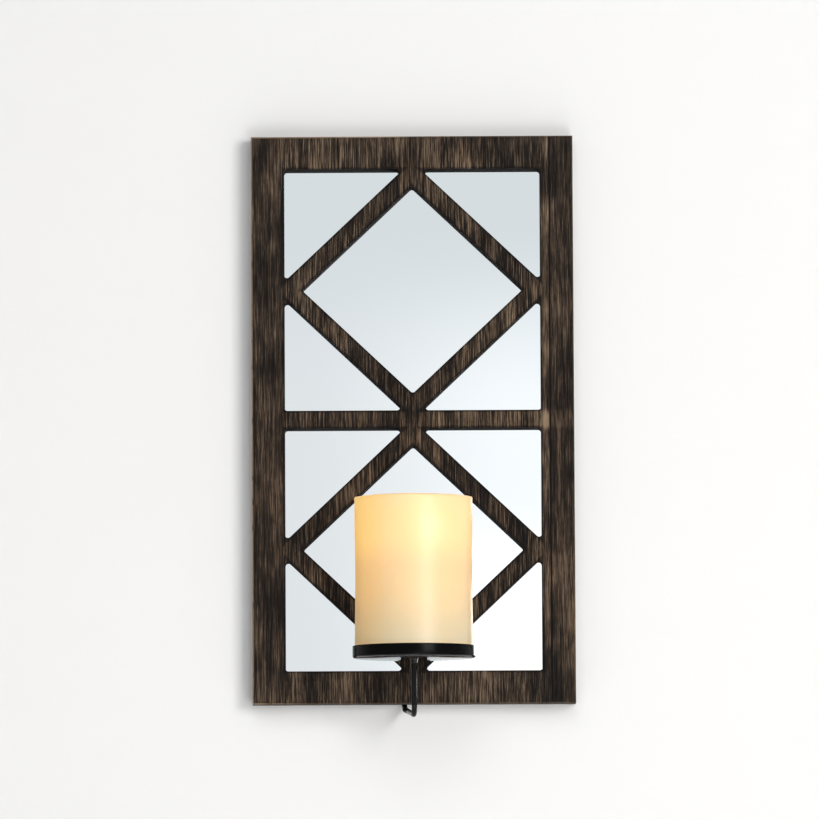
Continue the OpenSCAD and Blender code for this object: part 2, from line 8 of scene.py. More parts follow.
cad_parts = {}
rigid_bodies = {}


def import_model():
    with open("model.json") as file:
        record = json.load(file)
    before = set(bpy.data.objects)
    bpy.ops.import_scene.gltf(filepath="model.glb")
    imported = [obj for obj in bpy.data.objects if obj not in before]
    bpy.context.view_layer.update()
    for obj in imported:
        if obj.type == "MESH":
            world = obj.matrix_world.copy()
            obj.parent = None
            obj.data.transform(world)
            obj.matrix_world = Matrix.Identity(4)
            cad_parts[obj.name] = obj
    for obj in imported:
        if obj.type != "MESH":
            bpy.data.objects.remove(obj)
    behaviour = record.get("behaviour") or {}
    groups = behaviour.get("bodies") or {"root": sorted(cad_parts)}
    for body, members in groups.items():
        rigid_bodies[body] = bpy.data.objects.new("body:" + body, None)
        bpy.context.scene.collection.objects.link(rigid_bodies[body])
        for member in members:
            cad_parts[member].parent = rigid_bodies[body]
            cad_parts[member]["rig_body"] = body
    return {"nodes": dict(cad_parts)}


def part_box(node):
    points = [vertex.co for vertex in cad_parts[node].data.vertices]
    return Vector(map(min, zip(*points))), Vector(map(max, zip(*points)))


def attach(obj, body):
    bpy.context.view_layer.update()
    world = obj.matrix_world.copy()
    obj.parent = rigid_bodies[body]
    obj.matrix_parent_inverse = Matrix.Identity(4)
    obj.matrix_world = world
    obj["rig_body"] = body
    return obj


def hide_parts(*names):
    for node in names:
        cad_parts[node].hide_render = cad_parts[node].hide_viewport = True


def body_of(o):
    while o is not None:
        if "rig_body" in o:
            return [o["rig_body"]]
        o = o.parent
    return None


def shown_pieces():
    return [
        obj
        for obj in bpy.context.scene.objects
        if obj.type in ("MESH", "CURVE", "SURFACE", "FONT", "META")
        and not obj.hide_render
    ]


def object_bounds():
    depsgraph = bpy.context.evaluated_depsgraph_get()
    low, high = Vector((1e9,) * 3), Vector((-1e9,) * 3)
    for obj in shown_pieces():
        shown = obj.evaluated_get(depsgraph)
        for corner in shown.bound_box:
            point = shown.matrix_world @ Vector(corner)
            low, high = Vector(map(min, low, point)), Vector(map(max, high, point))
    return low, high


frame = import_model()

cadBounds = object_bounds()
scene = bpy.context.scene
panelLow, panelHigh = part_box("lattice_panel")
dishLow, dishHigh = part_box("candle_dish")
waxLow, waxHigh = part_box("wax_sleeve")
candleX = (dishLow.x + dishHigh.x) / 2
candleY = (dishLow.y + dishHigh.y) / 2
print("frame loaded")


# Camera: a long lens, well back and a little below the panel, looking slightly up
cameraFacts = {
    "distance": 5.0,      # from the panel's front face
    "drop": 0.213,        # below the panel's bottom edge
    "pitch": 4.688,       # degrees up
    "yaw": 0.026,         # degrees to the left
    "roll": -0.285,       # degrees
    "lens": 329.4,        # mm
    "sensor": 36.0,       # mm
}


def placeCamera(facts):
    camera = bpy.data.objects.new("camera", bpy.data.cameras.new("camera"))
    scene.collection.objects.link(camera)
    camera.data.sensor_width = facts["sensor"]
    camera.data.lens = facts["lens"]
    spot = Vector((0, panelLow.y - facts["distance"], panelLow.z - facts["drop"]))
    turn = Matrix.Rotation(math.radians(facts["yaw"]), 4, "Z")
    turn = turn @ Matrix.Rotation(math.radians(90 + facts["pitch"]), 4, "X")
    turn = turn @ Matrix.Rotation(math.radians(facts["roll"]), 4, "Z")
    camera.matrix_world = Matrix.Translation(spot) @ turn
    scene.camera = camera


placeCamera(cameraFacts)
print("camera placed")


# Shader maths: a Wire is one output of a node, and sums on it add Math nodes
class Wire:
    def __init__(self, tree, socket):
        self.tree = tree
        self.socket = socket

    def __add__(self, other):
        return self.tree.maths("ADD", self, other)

    __radd__ = __add__

    def __sub__(self, other):
        return self.tree.maths("SUBTRACT", self, other)

    def __rsub__(self, other):
        return self.tree.maths("SUBTRACT", other, self)

    def __mul__(self, other):
        return self.tree.maths("MULTIPLY", self, other)

    __rmul__ = __mul__

    def __truediv__(self, other):
        return self.tree.maths("DIVIDE", self, other)

    def __abs__(self):
        return self.tree.maths("ABSOLUTE", self)


class NodeTree:
    def __init__(self, owner):
        owner.use_nodes = True
        self.owner = owner
        self.nodes = owner.node_tree.nodes
        self.links = owner.node_tree.links
        self.nodes.clear()

    # Adds any node: its settings first, then its sockets by name or number
    def node(self, kind, settings=None, values=None, out=0):
        made = self.nodes.new(kind)
        for key, setting in (settings or {}).items():
            if key == "stops":
                stops = made.color_ramp.elements
                while len(stops) < len(setting):
                    stops.new(0.5)
                for stop, (position, colour) in zip(stops, setting):
                    stop.position = position
                    stop.color = (*colour, 1)
            else:
                setattr(made, key, setting)
        for key, value in (values or {}).items():
            if isinstance(value, Wire):
                self.links.new(value.socket, made.inputs[key])
            elif isinstance(value, tuple) and made.inputs[key].type == "RGBA":
                made.inputs[key].default_value = (*value, 1)
            else:
                made.inputs[key].default_value = value
        return Wire(self, made.outputs[out]) if len(made.outputs) else None

    def maths(self, operation, *values):
        return self.node("ShaderNodeMath", {"operation": operation}, dict(enumerate(values)))

    # 0 below low, 1 above high, smooth in between
    def step(self, value, low, high):
        values = {"Value": value, "From Min": low, "From Max": high}
        return self.node("ShaderNodeMapRange", {"interpolation_type": "SMOOTHSTEP"}, values)

    def mix(self, factor, first, second, blend="MIX"):
        settings = {"data_type": "RGBA", "blend_type": blend}
        return self.node("ShaderNodeMix", settings, {0: factor, 6: first, 7: second}, out=2)

    def ramp(self, value, *stops):
        return self.node("ShaderNodeValToRGB", {"stops": stops}, {0: value})

    def place(self):
        return self.node("ShaderNodeTexCoord", out="Object")

    def axes(self, vector=None):
        vector = vector or self.place()
        return [self.node("ShaderNodeSeparateXYZ", None, {0: vector}, out=axis) for axis in range(3)]

    def stretched(self, vector, scale, turn=(0, 0, 0), shift=(0, 0, 0)):
        values = {"Vector": vector, "Scale": scale, "Rotation": turn, "Location": shift}
        return self.node("ShaderNodeMapping", None, values)

    def noise(self, vector, scale, detail=3.0, roughness=0.5, distortion=0.0):
        values = {"Vector": vector, "Scale": scale, "Detail": detail,
                  "Roughness": roughness, "Distortion": distortion}
        return self.node("ShaderNodeTexNoise", None, values)

    def cells(self, vector, scale):
        return self.node("ShaderNodeTexVoronoi", {"feature": "F1"}, {"Vector": vector, "Scale": scale})

    def bump(self, height, strength, distance):
        return self.node("ShaderNodeBump", None,
                         {"Height": height, "Strength": strength, "Distance": distance})

    def surface(self, **sockets):
        values = {name.replace("_", " "): value for name, value in sockets.items()}
        shader = self.node("ShaderNodeBsdfPrincipled", None, values)
        self.node("ShaderNodeOutputMaterial", None, {"Surface": shader})
        return self.owner


def newFinish(name):
    return NodeTree(bpy.data.materials.new(name))


# Timber: black-brown stain wiped over upright grain, darker near the windows, with painted shade in near
# black on the windows' inner walls
timberFacts = {
    "grainWidth": 1300,         # broad streaks per metre across the grain
    "poreWidth": 2400,         # fine ones
    "grainLength": 0.030,      # how much slower the grain changes along its length
    "waver": 0.0018,           # how far the grain strays sideways
    "border": 0.022,           # stiles and outer rails
    "midRail": 0.012,
    "barWidth": 0.012,
    "barInset": 0.003,
    "seamAt": 0.0920,          # glue line in the right stile
    "middleTone": 0.505,       # 0 is bare black stain, 1 the palest wood; the next ones shift it
    "streaks": 1.00,
    "pores": 1.30,
    "boards": 0.36,
    "wiping": 0.55,
    "calmStiles": 0.34,
    "lowRail": 0.012,
    "rightRail": 0.070,
    "strip": 0.12,
    "railPatch": 0.22,
    "nearWindow": 0.16,
    "seam": 0.42,
    "outerEdge": 0.05,
    "worn": 0.22,              # bare wood on the front arris, and the extra at the top left
    "wornTopLeft": 0.68,
    "black": (0.0030, 0.0024, 0.0021),
    "dark": (0.0085, 0.0060, 0.0047),
    "brown": (0.0290, 0.0200, 0.0145),
    "tan": (0.105, 0.072, 0.047),
    "pale": (0.240, 0.172, 0.112),
}


# How far a point of the front face lies from the nearest window, worked out from the lattice
def windowDepth(tree, across, up, facts):
    openWide = (panelHigh.x - panelLow.x) / 2 - facts["border"]
    tall = panelHigh.z - panelLow.z
    openTall = (tall - 2 * facts["border"] - facts["midRail"]) / 4
    rhombWide = openWide - facts["barInset"]
    rhombTall = openTall - facts["barInset"]
    rhombSide = math.hypot(rhombWide, rhombTall)
    middle = (panelLow.z + panelHigh.z) / 2
    fromMiddle = abs(up - middle)
    fromWindow = abs(fromMiddle - (facts["midRail"] / 2 + openTall))
    fromBar = abs(abs(across) * (rhombTall / rhombSide) + fromWindow * (rhombWide / rhombSide)
                  - rhombWide * rhombTall / rhombSide)
    inBar = facts["barWidth"] / 2 - fromBar
    inStile = abs(across) - openWide
    inRail = fromWindow - openTall
    return tree.maths("MAXIMUM", inBar, tree.maths("MAXIMUM", inStile, inRail))


def timberStain():
    facts = timberFacts
    tree = newFinish("timberStain")
    place = tree.place()
    across, deep, up = tree.axes(place)
    waver = tree.noise(tree.stretched(place, (30, 30, 9)), 1.0, 2.0)
    wavy = tree.node("ShaderNodeCombineXYZ", None, {
        0: across + (waver - 0.5) * facts["waver"], 1: deep, 2: up * facts["grainLength"]})
    streak = tree.noise(wavy, facts["grainWidth"], 3.0, 0.6)
    pore = tree.noise(wavy, facts["poreWidth"], 4.0, 0.7)
    board = tree.noise(tree.stretched(place, (75, 40, 10)), 1.0, 3.0, 0.6)
    wiped = tree.noise(tree.stretched(place, (38, 20, 24), shift=(3.1, 0, 1.7)), 1.0, 4.0, 0.62)

    depth = windowDepth(tree, across, up, facts) + (board - 0.5) * 0.0024
    # Darker within about 2 mm of the windows
    nearWindow = 1 - tree.step(depth, 0.0001, 0.0020)
    middle = (panelHigh.z + panelLow.z) / 2
    toSide = panelHigh.x - abs(across)
    toEnd = (panelHigh.z - panelLow.z) / 2 - abs(up - middle)
    toOuter = tree.maths("MINIMUM", toSide, toEnd)

    # The seam, the paler strip beside it, and the patch where the middle rail meets it
    seam = across - facts["seamAt"] - (waver - 0.5) * 0.0011
    seamLine = 1 - tree.step(abs(seam), 0.0001, 0.0008)
    strip = tree.step(seam, -0.0052, -0.0042) * (1 - tree.step(seam, -0.0012, 0.0))
    uneven = tree.noise(tree.stretched(place, (90, 9, 24)), 1.0, 3.0)
    stripPatch = strip * tree.step(uneven, 0.46, 0.62)
    railPatch = strip * (1 - tree.step(abs(up - middle + 0.001), 0.003, 0.0085))

    stileEdge = panelHigh.x - facts["border"]
    onStile = tree.step(abs(across), stileEdge - 0.001, stileEdge + 0.002)
    lowRail = 1 - tree.step(up, panelLow.z + 0.014, panelLow.z + 0.026)
    rightRail = (1 - tree.step(abs(up - middle), 0.004, 0.008)) * tree.step(across, 0.005, 0.035)
    outerEdge = 1 - tree.step(toOuter, 0.0006, 0.0026)
    grain = (streak - 0.5) * facts["streaks"] + (pore - 0.5) * facts["pores"]
    tone = facts["middleTone"] + grain * (1 - onStile * facts["calmStiles"])
    tone = tone + (board - 0.5) * facts["boards"] + (wiped - 0.5) * facts["wiping"]
    tone = tone + lowRail * facts["lowRail"] + rightRail * facts["rightRail"]
    tone = tone + stripPatch * facts["strip"] + railPatch * facts["railPatch"]
    tone = tone - nearWindow * facts["nearWindow"] - seamLine * facts["seam"]
    tone = tone - outerEdge * facts["outerEdge"]
    colour = tree.ramp(tone, (0.26, facts["black"]), (0.41, facts["dark"]), (0.53, facts["brown"]),
                       (0.68, facts["tan"]), (0.86, facts["pale"]))
    # Painted shade: the windows' inner walls are coloured near black, standing in for the shade inside the
    # openings
    walls = tree.step(deep, panelLow.y + 0.0004, panelLow.y + 0.0012)
    backFace = tree.step(deep, -0.0005, -0.0001)
    inside = walls * (1 - backFace) * tree.step(toOuter, 0.0002, 0.0006)
    colour = tree.mix(inside * 0.95, colour, facts["black"])
    topLeft = tree.step((up - middle) * 0.2 - across, 0.03, 0.07)
    arris = (1 - tree.step(toOuter, 0.0005, 0.0011)) * (1 - walls)
    worn = arris * tree.step(tree.noise(place, 120, 3.0), 0.22, 0.50)
    colour = tree.mix(worn * (facts["worn"] + topLeft * facts["wornTopLeft"]), colour, facts["pale"])
    height = streak * 0.5 + pore * 0.5 - seamLine * 0.5
    return tree.surface(
        Base_Color=colour,
        Roughness=0.66 + (0.5 - streak) * 0.2 + inside * 0.3,
        IOR=1.17,
        Normal=tree.bump(height, 0.5, 0.0005))


# Mirror: silvered glass, with paint on its back and seamed edges
mirrorFacts = {
    "silver": (0.955, 0.965, 0.965), "backPaint": (0.16, 0.17, 0.17), "specks": (0.09, 0.10, 0.10),
    "rough": 0.015,
}


def mirrorSilver():
    facts = mirrorFacts
    tree = newFinish("mirrorSilver")
    place = tree.place()
    across, deep, up = tree.axes(place)
    low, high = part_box("mirror_glass")
    isBack = tree.step(deep, high.y - 0.0004, high.y - 0.0002)
    toSide = high.x - abs(across)
    toEnd = (high.z - low.z) / 2 - abs(up - (low.z + high.z) / 2)
    toEdge = tree.maths("MINIMUM", toSide, toEnd)
    isEdge = 1 - tree.step(toEdge, 0.0003, 0.0008)
    plain = tree.maths("MAXIMUM", isBack, isEdge)
    specks = tree.step(tree.noise(place, 900, 2.0), 0.68, 0.75)
    paint = tree.mix(specks, facts["backPaint"], facts["specks"])
    haze = tree.noise(place, 14, 3.0)
    return tree.surface(
        Base_Color=tree.mix(plain, facts["silver"], paint),
        Metallic=1 - plain,
        Roughness=plain * 0.5 + facts["rough"] + haze * 0.012)


# Hardboard: pressed brown fibres, cloudy, with a few dark chips
hardboardFacts = {
    "light": (0.270, 0.165, 0.085), "dark": (0.150, 0.085, 0.042), "chip": (0.080, 0.045, 0.022),
    "fibre": 900,
}


def hardboard():
    facts = hardboardFacts
    tree = newFinish("hardboard")
    place = tree.place()
    fibre = tree.noise(tree.stretched(place, (1, 1, 0.35)), facts["fibre"], 4.0, 0.7)
    cross = tree.noise(tree.stretched(place, (0.3, 1, 1)), facts["fibre"] * 0.8, 3.0, 0.7)
    cloud = tree.noise(place, 22, 4.0, 0.6)
    chips = tree.step(tree.cells(place, 420), 0.02, 0.30)
    tone = fibre * 0.45 + cross * 0.35 + cloud * 0.35
    colour = tree.ramp(tone, (0.35, facts["dark"]), (0.75, facts["light"]))
    colour = tree.mix((1 - chips) * 0.35, colour, facts["chip"])
    return tree.surface(
        Base_Color=colour,
        Roughness=0.55 + (fibre - 0.5) * 0.3,
        Normal=tree.bump(fibre + cross, 0.35, 0.0003))


# Zinc-plated steel: pale, slightly yellow in patches, with fine drawn lines
zincFacts = {"clean": (0.60, 0.61, 0.62), "dull": (0.38, 0.38, 0.36), "lines": 1800}


def zincPlate():
    facts = zincFacts
    tree = newFinish("zincPlate")
    place = tree.place()
    lines = tree.noise(tree.stretched(place, (1, 0.5, 0.04)), facts["lines"], 3.0, 0.6)
    cloud = tree.noise(place, 180, 4.0, 0.6)
    spangle = tree.cells(place, 700)
    tone = cloud * 0.6 + lines * 0.25 + spangle * 0.3
    return tree.surface(
        Base_Color=tree.ramp(tone, (0.30, facts["dull"]), (0.70, facts["clean"])),
        Metallic=1.0,
        Roughness=0.26 + cloud * 0.22,
        Normal=tree.bump(lines, 0.12, 0.0001))


feltFacts = {"dark": (0.010, 0.010, 0.011), "light": (0.065, 0.063, 0.060), "hairs": 4200}


def feltWool():
    facts = feltFacts
    tree = newFinish("feltWool")
    place = tree.place()
    hairs = tree.noise(place, facts["hairs"], 5.0, 0.8, 1.2)
    clumps = tree.noise(place, facts["hairs"] / 6, 3.0)
    tone = hairs * 0.6 + clumps * 0.4
    return tree.surface(
        Base_Color=tree.ramp(tone, (0.35, facts["dark"]), (0.70, facts["light"])),
        Roughness=0.95,
        Sheen_Weight=0.5,
        Normal=tree.bump(hairs, 0.9, 0.0004))


# Black enamel on steel: near black, glossy, with a very slight orange peel
enamelFacts = {
    "black": (0.0016, 0.0016, 0.0017), "dusty": (0.007, 0.007, 0.0075), "peel": 650,
    "gloss": 0.70,           # of the clear coat, and how much less of it the rod has
    "lessOnRod": 0.40,
}


def blackEnamel():
    facts = enamelFacts
    tree = newFinish("blackEnamel")
    place = tree.place()
    peel = tree.noise(place, facts["peel"], 2.0, 0.4)
    dust = tree.noise(place, 2600, 3.0, 0.8)
    handled = tree.noise(place, 60, 3.0, 0.6)
    dirt = tree.step(dust, 0.62, 0.80) * tree.step(handled, 0.40, 0.60) * 0.6
    up = tree.axes(place)[2]
    underDish = 1 - tree.step(up, dishLow.z + 0.0002, dishLow.z + 0.0014)
    onRod = 1 - tree.step(up, dishLow.z - 0.0006, dishLow.z - 0.0002)
    return tree.surface(
        Base_Color=tree.mix(dirt * 0.6, facts["black"], facts["dusty"]),
        Roughness=0.18 + handled * 0.10 + dirt * (1 - onRod) * 0.15,
        IOR=1.12,
        Coat_Weight=underDish * facts["gloss"] - onRod * facts["lessOnRod"],
        Coat_Roughness=0.06,
        Normal=tree.bump(peel * (1 - onRod), 0.03, 0.0003))


# Wax: ivory, with a painted glow in its emission colour standing in for the bulb's light, brightest above
# the recess's floor, and painted shade with a warm painted glow at its left edge
waxFacts = {
    "ivory": (0.760, 0.585, 0.325),
    "foot": (0.610, 0.520, 0.350),
    "cloudy": (0.76, 0.585, 0.34),
    "shade": (0.880, 0.565, 0.200),      # painted shade on the left side, away from the key lamp and the flame's brightest part
    # Each glow is an emission colour: a painted glow standing in for the bulb's light through the wax
    "footGlow": (0.010, 0.004, 0.001),
    "lowGlow": (0.180, 0.050, 0.006),    # painted glow just below the recess's floor
    "lowLeftGlow": (0.34, 0.165, 0.001),
    "highGlow": (0.42, 0.162, 0.028),    # painted glow above it
    "rimGlow": (0.25, 0.125, 0.045),
    "leftGlow": (0.42, 0.270, 0.008),
    "spotGlow": (0.48, 0.30, 0.19),      # painted glow and highlight in front of the flame
    "lipGlow": (0.170, 0.085, 0.020),    # painted glow just above the dish's lip
}


def candleWax():
    facts = waxFacts
    tree = newFinish("candleWax")
    place = tree.place()
    across, deep, up = tree.axes(place)
    mottle = tree.noise(tree.stretched(place, (1, 1, 0.6)), 75, 4.0, 0.55)
    bloom = tree.noise(place, 900, 3.0, 0.6)
    side = across / waxHigh.x                                  # -1 at the left edge, 1 at the right
    level = (up - waxLow.z) / (waxHigh.z - waxLow.z)           # 0 at the foot, 1 at the rim
    base = tree.mix(tree.step(level, 0.0, 0.45), facts["foot"], facts["ivory"])
    base = tree.mix((mottle - 0.5) * 0.5 + 0.15, base, facts["cloudy"])
    # Painted shade: the left side's base colour turns warmer and darker, away from the key lamp
    leftSide = 1 - tree.step(side, -1.05, -0.30)
    base = tree.mix(leftSide * 0.7, base, facts["shade"])

    # Painted glow: emission colours by height stand in for the bulb's light through the wax, with a painted
    # highlight in front of the flame and a painted glow line just above the dish's lip
    above = tree.step(level + (mottle - 0.5) * 0.03, 0.53, 0.76)
    fade = tree.step(level, 0.05, 0.62)
    glow = tree.mix(fade, facts["footGlow"], facts["lowGlow"])
    glow = tree.mix(leftSide * fade * 0.6, glow, facts["lowLeftGlow"])
    glow = tree.mix(above, glow, facts["highGlow"])
    rim = tree.step(level, 0.86, 1.0)
    glow = tree.mix(rim * 0.6, glow, facts["rimGlow"])
    glow = tree.mix(leftSide * 0.7 * above, glow, facts["leftGlow"])
    nearFlame = 1 - tree.step(abs(level - 0.78), 0.0, 0.17)
    spot = nearFlame * (1 - tree.step(abs(side - 0.33), 0.0, 0.38))
    glow = tree.mix(spot * 0.5, glow, facts["spotGlow"])
    lipLevel = (dishHigh.z - waxLow.z) / (waxHigh.z - waxLow.z)
    lipLine = 1 - tree.step(level, lipLevel + 0.006, lipLevel + 0.018)
    glow = tree.mix(lipLine * 0.7, glow, facts["lipGlow"])
    return tree.surface(
        Base_Color=base,
        Roughness=0.42 + (bloom - 0.5) * 0.16,
        Subsurface_Weight=0.25,
        Subsurface_Radius=(0.006, 0.003, 0.0012),
        Subsurface_Scale=1.0,
        Emission_Color=glow,
        Emission_Strength=1.0,
        Normal=tree.bump(mottle * 0.7 + bloom * 0.06, 0.25, 0.0012))


# Flame cap: frosted amber plastic with a painted glow in its emission colour, standing in for the bulb
# inside it
lensFinishFacts = {
    "plastic": (0.90, 0.78, 0.55), "footGlow": (0.9, 0.55, 0.16), "bellyGlow": (1.0, 0.80, 0.38),
    "tipGlow": (0.95, 0.55, 0.14), "strength": 1.5,
}


def lensPlastic():
    facts = lensFinishFacts
    tree = newFinish("lensPlastic")
    place = tree.place()
    up = tree.axes(place)[2]
    low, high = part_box("flame_lens")
    level = (up - low.z) / (high.z - low.z)
    frost = tree.noise(place, 1400, 3.0, 0.6)
    # Painted glow: an emission colour by height stands in for the bulb's light through the cap
    glow = tree.ramp(level, (0.0, facts["footGlow"]), (0.35, facts["bellyGlow"]), (1.0, facts["tipGlow"]))
    return tree.surface(
        Base_Color=facts["plastic"],
        Roughness=0.35 + frost * 0.2,
        Emission_Color=glow,
        Emission_Strength=facts["strength"],
        Normal=tree.bump(frost, 0.2, 0.0003))


# Bulb: amber resin over tinned leads
ledFacts = {
    "resin": (0.9, 0.72, 0.36), "paleResin": (1.0, 0.86, 0.52), "leads": (0.62, 0.62, 0.60),
    "glow": (1.0, 0.72, 0.30), "strength": 5.0, "resinTall": 0.009,
}


def ledResin():
    facts = ledFacts
    tree = newFinish("ledResin")
    place = tree.place()
    up = tree.axes(place)[2]
    low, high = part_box("led_bulb")
    resinFoot = high.z - facts["resinTall"]
    isLead = 1 - tree.step(up, resinFoot - 0.0002, resinFoot + 0.0002)
    swirl = tree.noise(place, 700, 2.0)
    resin = tree.mix(swirl, facts["resin"], facts["paleResin"])
    return tree.surface(
        Base_Color=tree.mix(isLead, resin, facts["leads"]),
        Metallic=isLead,
        Roughness=0.15 + swirl * 0.1,
        Emission_Color=tree.mix(isLead, facts["glow"], (0, 0, 0)),
        Emission_Strength=facts["strength"])


# Circuit board: green mask over copper tracks, with tinned pads round the posts
circuitFacts = {
    "mask": (0.008, 0.075, 0.022), "overTracks": (0.020, 0.150, 0.045), "tin": (0.62, 0.62, 0.58),
    "chip": (0.012, 0.012, 0.013), "padPitch": 260, "thick": 0.0017,
}


def circuitMask():
    facts = circuitFacts
    tree = newFinish("circuitMask")
    place = tree.place()
    up = tree.axes(place)[2]
    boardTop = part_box("circuit_board")[0].z + facts["thick"]
    onTop = tree.step(up, boardTop, boardTop + 0.00005)
    grid = tree.cells(tree.stretched(place, (1, 1, 0.001)), facts["padPitch"])
    tracks = tree.step(tree.noise(tree.stretched(place, (1, 0.2, 0.001)), 900, 0.0), 0.52, 0.56)
    pads = 1 - tree.step(grid, 0.14, 0.18)
    mask = tree.mix(tracks * 0.7, facts["mask"], facts["overTracks"])
    colour = tree.mix(pads, mask, facts["tin"])
    colour = tree.mix(onTop, colour, facts["chip"])
    return tree.surface(
        Base_Color=colour,
        Metallic=pads * (1 - onTop),
        Roughness=0.32 + onTop * 0.2,
        Normal=tree.bump(tracks + pads, 0.3, 0.0001))


ivoryFacts = {"dark": (0.76, 0.70, 0.56), "light": (0.84, 0.79, 0.66), "spark": 5200}


def ivoryPlastic():
    facts = ivoryFacts
    tree = newFinish("ivoryPlastic")
    place = tree.place()
    spark = tree.noise(place, facts["spark"], 3.0, 0.7)
    flow = tree.noise(tree.stretched(place, (1, 1, 0.3)), 60, 3.0)
    return tree.surface(
        Base_Color=tree.mix(flow, facts["dark"], facts["light"]),
        Roughness=0.42 + (spark - 0.5) * 0.2,
        Normal=tree.bump(spark, 0.25, 0.00012))


# Battery: a printed sleeve in two plain bands, with bare steel ends
cellFacts = {
    "copper": (0.42, 0.20, 0.045), "black": (0.016, 0.018, 0.022), "line": (0.60, 0.60, 0.58),
    "steel": (0.62, 0.62, 0.60), "scuffed": (0.5, 0.5, 0.48),
    "bareTo": 0.0020, "copperTo": 0.0150, "lineFrom": 0.0165, "lineTo": 0.0175,
}


def cellWrap():
    facts = cellFacts
    tree = newFinish("cellWrap")
    place = tree.place()
    across, deep, up = tree.axes(place)
    low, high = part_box("battery_cells")
    flips = tree.step(across, candleX - 0.0001, candleX + 0.0001)
    fromFoot = up - low.z
    fromTop = high.z - up
    along = fromFoot * (1 - flips) + fromTop * flips
    band = tree.step(along, facts["copperTo"], facts["copperTo"] + 0.0003)
    line = tree.step(along, facts["lineFrom"], facts["lineFrom"] + 0.0002)
    line = line * (1 - tree.step(along, facts["lineTo"], facts["lineTo"] + 0.0002))
    bare = 1 - tree.step(along, facts["bareTo"] - 0.0001, facts["bareTo"] + 0.0001)
    scuff = tree.noise(tree.stretched(place, (1, 1, 0.2)), 1200, 4.0, 0.7)
    colour = tree.mix(band, facts["copper"], facts["black"])
    colour = tree.mix(line, colour, facts["line"])
    colour = tree.mix(bare, colour, facts["steel"])
    return tree.surface(
        Base_Color=tree.mix(tree.step(scuff, 0.62, 0.75) * 0.25, colour, facts["scuffed"]),
        Metallic=tree.maths("MAXIMUM", bare, (1 - band) * 0.7),
        Roughness=0.24 + scuff * 0.16)


springFacts = {"dark": (0.45, 0.44, 0.42), "light": (0.74, 0.73, 0.70), "drawn": 1600}


def springSteel():
    facts = springFacts
    tree = newFinish("springSteel")
    place = tree.place()
    drawn = tree.noise(place, facts["drawn"], 4.0, 0.65)
    return tree.surface(
        Base_Color=tree.mix(drawn, facts["dark"], facts["light"]),
        Metallic=1.0,
        Roughness=0.18 + drawn * 0.2,
        Normal=tree.bump(drawn, 0.1, 0.0001))


wireFacts = {"black": (0.010, 0.010, 0.011), "red": (0.42, 0.018, 0.014), "rubbed": (0.30, 0.28, 0.26)}


def wireSheath():
    facts = wireFacts
    tree = newFinish("wireSheath")
    place = tree.place()
    across = tree.axes(place)[0]
    isRed = tree.step(across, candleX - 0.0001, candleX + 0.0001)
    rub = tree.noise(place, 2200, 3.0)
    colour = tree.mix(isRed, facts["black"], facts["red"])
    return tree.surface(
        Base_Color=tree.mix(rub * 0.15, colour, facts["rubbed"]),
        Roughness=0.34 + rub * 0.2,
        Normal=tree.bump(rub, 0.15, 0.0001))


plasticFacts = {
    "switchCase": {"dark": (0.42, 0.42, 0.41), "light": (0.52, 0.52, 0.50), "rough": 0.40},
    "knobPlastic": {"dark": (0.010, 0.010, 0.010), "light": (0.022, 0.022, 0.022), "rough": 0.45},
    "spark": 4600,
}


def mouldedPlastic(name):
    facts = plasticFacts[name]
    tree = newFinish(name)
    place = tree.place()
    spark = tree.noise(place, plasticFacts["spark"], 3.0, 0.7)
    return tree.surface(
        Base_Color=tree.mix(spark, facts["dark"], facts["light"]),
        Roughness=facts["rough"] + (spark - 0.5) * 0.2,
        Normal=tree.bump(spark, 0.3, 0.0001))


finishes = {
    "timber": timberStain(),
    "mirror": mirrorSilver(),
    "hardboard": hardboard(),
    "zinc": zincPlate(),
    "felt": feltWool(),
    "black_steel": blackEnamel(),
    "wax": candleWax(),
    "lens": lensPlastic(),
    "led": ledResin(),
    "circuit": circuitMask(),
    "ivory_plastic": ivoryPlastic(),
    "cell": cellWrap(),
    "spring_steel": springSteel(),
    "wire": wireSheath(),
    "switch_case": mouldedPlastic("switchCase"),
    "knob": mouldedPlastic("knobPlastic"),
}
print("finishes made")


# Turns a finished bmesh into a piece that rides on its body and stands for its CAD nodes
def finishPiece(form, name, body, finish, nodes, smoothAngle=35):
    mesh = bpy.data.meshes.new(name)
    form.to_mesh(mesh)
    form.free()
    piece = bpy.data.objects.new(name, mesh)
    scene.collection.objects.link(piece)
    mesh.materials.append(finishes[finish])
    mesh.shade_smooth()
    mesh.set_sharp_from_angle(angle=math.radians(smoothAngle))
    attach(piece, body)
    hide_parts(*nodes)
    return piece


# A CAD node's mesh as a clean solid: doubles merged and flat faces joined up
def cleanCopy(node):
    form = bmesh.new()
    form.from_mesh(frame["nodes"][node].data)
    bmesh.ops.remove_doubles(form, verts=form.verts, dist=1e-6)
    bmesh.ops.dissolve_limit(form, angle_limit=math.radians(0.5), verts=form.verts, edges=form.edges,
                             delimit={"NORMAL"})
    return form


def sharpEdges(form, fromAngle, where=lambda edge: True):
    least = math.radians(fromAngle)
    return [edge for edge in form.edges
            if len(edge.link_faces) == 2 and edge.calc_face_angle(0) > least and where(edge)]


def roundOver(form, edges, width, segments):
    bmesh.ops.bevel(form, geom=edges, offset=width, segments=segments, profile=0.5,
                    affect="EDGES", material=-1, clamp_overlap=True)


# A copy of a CAD node with its sharp edges eased, and flat faces that still shade flat
def easedPiece(name, node, body, finish, width, segments):
    form = cleanCopy(node)
    roundOver(form, sharpEdges(form, 50), width, segments)
    piece = finishPiece(form, name, body, finish, [node])
    piece.modifiers.new("evenShading", "WEIGHTED_NORMAL").keep_sharp = True


